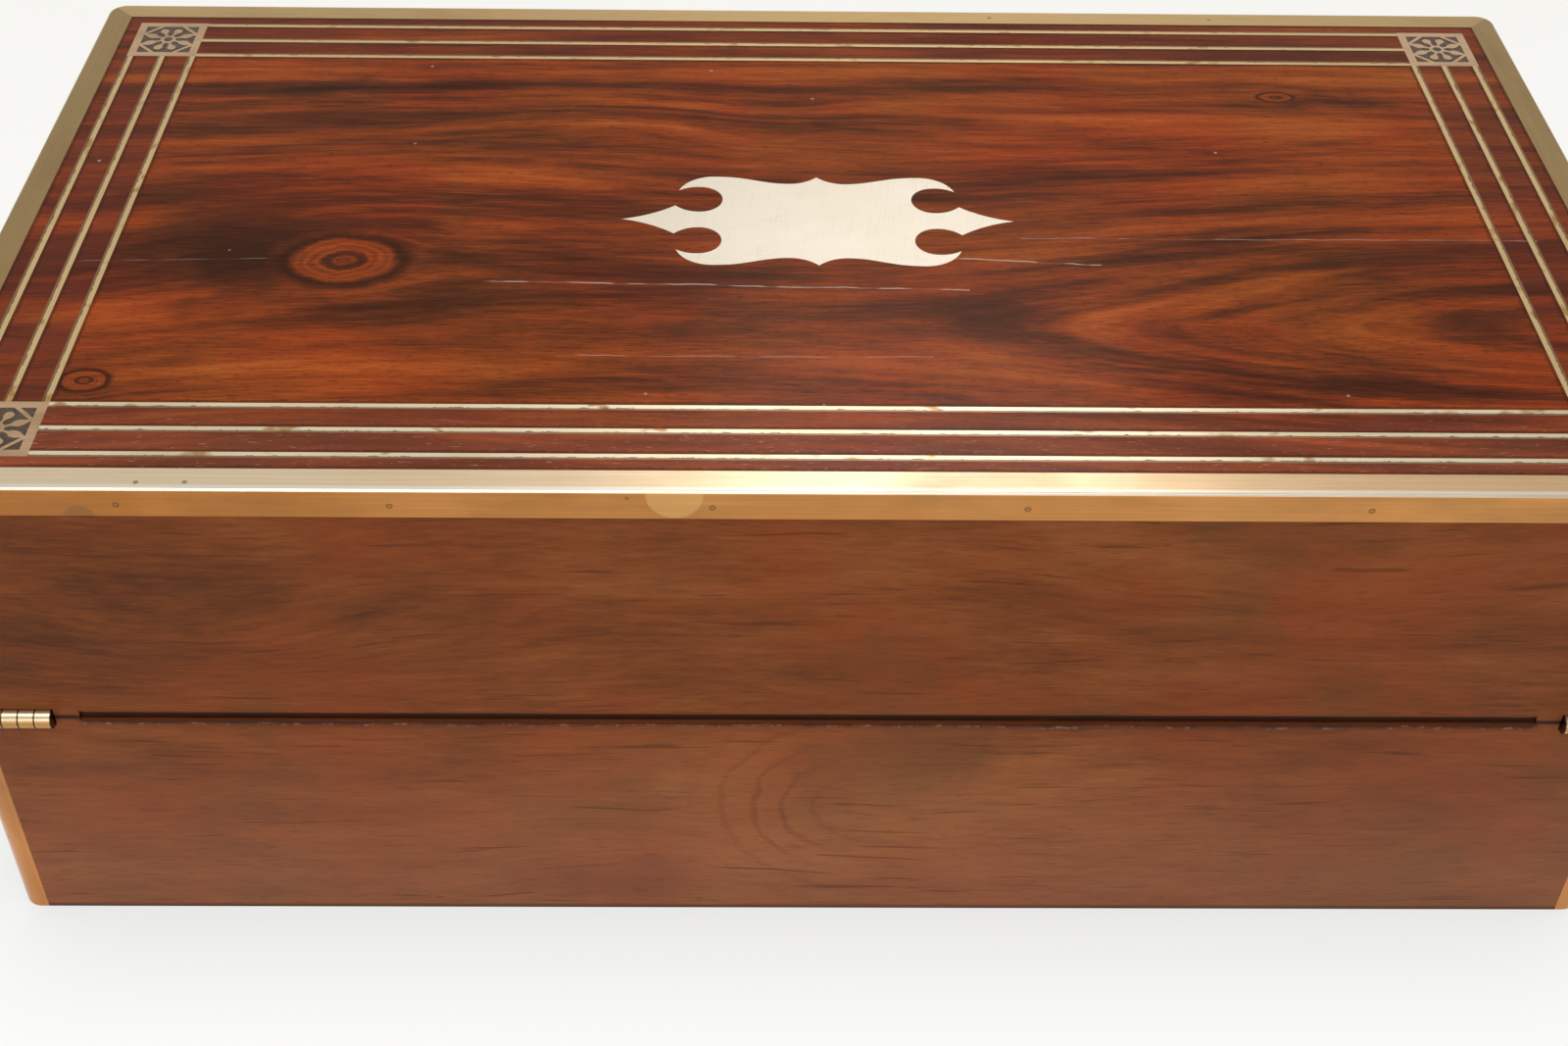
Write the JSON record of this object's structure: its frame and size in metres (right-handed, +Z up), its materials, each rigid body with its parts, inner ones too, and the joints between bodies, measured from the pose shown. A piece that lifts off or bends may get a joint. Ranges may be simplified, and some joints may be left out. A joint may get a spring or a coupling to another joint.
{
  "type": "writing slope",
  "caption": "Brass-bound rosewood writing slope that opens on two hinges into a leather-covered desk with paper wells, a pen gallery and a lock.",
  "frame": {"origin": "centre of the flat underside", "axes": "+Z up; +X along the length; the lock is on the -Y face and the hinges on the +Y face"},
  "size_m": [0.508, 0.2775, 0.178],
  "materials": {
    "lid_rosewood": "french-polished figured rosewood",
    "wall_rosewood": "waxed rosewood veneer, plainer than the lid",
    "inner_wood": "waxed mahogany",
    "bottom_wood": "oiled mahogany",
    "binding_brass": "polished, with tarnish and fine scratches",
    "inlay_brass": "pale, polished flush",
    "plate_brass": "pale satin",
    "lock_brass": "filed and brushed",
    "screw_brass": "turned",
    "pin_brass": "drawn wire",
    "bolt_steel": "filed steel",
    "writing_leather": "dark green skiver with a tooled border",
    "ink_glass": "pressed clear glass"
  },
  "bodies": {
    "base": {"base_back_wall": "wall_rosewood", "base_bottom_board": "bottom_wood", "base_corner_straps": "binding_brass", "base_flap_ledges": "inner_wood", "base_front_wall": "wall_rosewood", "base_hinge_rail": "inner_wood", "base_left_wall": "wall_rosewood", "base_rail_leather": "writing_leather", "base_right_wall": "wall_rosewood", "gallery_divider_left": "inner_wood", "gallery_divider_right": "inner_wood", "gallery_floor": "inner_wood", "gallery_partition": "inner_wood", "hinge_base_screws": "screw_brass", "inkwell_cap_left": "binding_brass", "inkwell_cap_right": "binding_brass", "inkwell_left": "ink_glass", "inkwell_right": "ink_glass", "keyhole_escutcheon": "binding_brass", "left_hinge_base_leaf": "binding_brass", "left_hinge_pin": "pin_brass", "lock_case": "lock_brass", "lock_screws": "screw_brass", "pen_tray": "inner_wood", "pen_tray_rests": "inner_wood", "right_hinge_base_leaf": "binding_brass", "right_hinge_pin": "pin_brass"},
    "lid": {"corner_plate_back_left": "inlay_brass", "corner_plate_back_right": "inlay_brass", "corner_plate_front_left": "inlay_brass", "corner_plate_front_right": "inlay_brass", "hinge_lid_screws": "screw_brass", "left_hinge_lid_leaf": "binding_brass", "lid_back_wall": "wall_rosewood", "lid_corner_straps": "binding_brass", "lid_edge_back": "binding_brass", "lid_edge_front": "binding_brass", "lid_edge_left": "binding_brass", "lid_edge_right": "binding_brass", "lid_flap_ledges": "inner_wood", "lid_front_wall": "wall_rosewood", "lid_hinge_rail": "inner_wood", "lid_left_wall": "wall_rosewood", "lid_rail_leather": "writing_leather", "lid_right_wall": "wall_rosewood", "lid_top_board": "lid_rosewood", "link_plate_screws": "screw_brass", "lock_link_plate": "lock_brass", "name_plate": "plate_brass", "right_hinge_lid_leaf": "binding_brass", "stringing_back": "inlay_brass", "stringing_front": "inlay_brass", "stringing_left": "inlay_brass", "stringing_right": "inlay_brass"},
    "base_flap": {"base_flap": "inner_wood", "base_flap_leather": "writing_leather"},
    "lid_flap": {"lid_flap": "inner_wood", "lid_flap_leather": "writing_leather"},
    "lock_bolt": {"lock_bolt": "bolt_steel"}
  },
  "joints": [
    {"name": "lid_hinge", "type": "hinge", "parent": "base", "child": "lid", "pos_m": [0, 0.1374, 0.089], "axis": [-1, 0, 0], "range_deg": [0, 180]},
    {"name": "base_flap_hinge", "type": "hinge", "parent": "base", "child": "base_flap", "pos_m": [0, 0.11557, 0.0897], "axis": [-1, 0, 0], "range_deg": [0, 90]},
    {"name": "lid_flap_hinge", "type": "hinge", "parent": "lid", "child": "lid_flap", "pos_m": [0, 0.11613, 0.09396], "axis": [1, 0, 0], "range_deg": [0, 90]},
    {"name": "bolt_slide", "type": "slide", "parent": "base", "child": "lock_bolt", "axis": [1, 0, 0], "range_m": [0, 0.005]}
  ],
  "couplings": [
    {"joint": "base_flap_hinge", "follows": "lid_hinge", "ratio": 0.45},
    {"joint": "lid_flap_hinge", "follows": "lid_hinge", "ratio": 0.45}
  ]
}
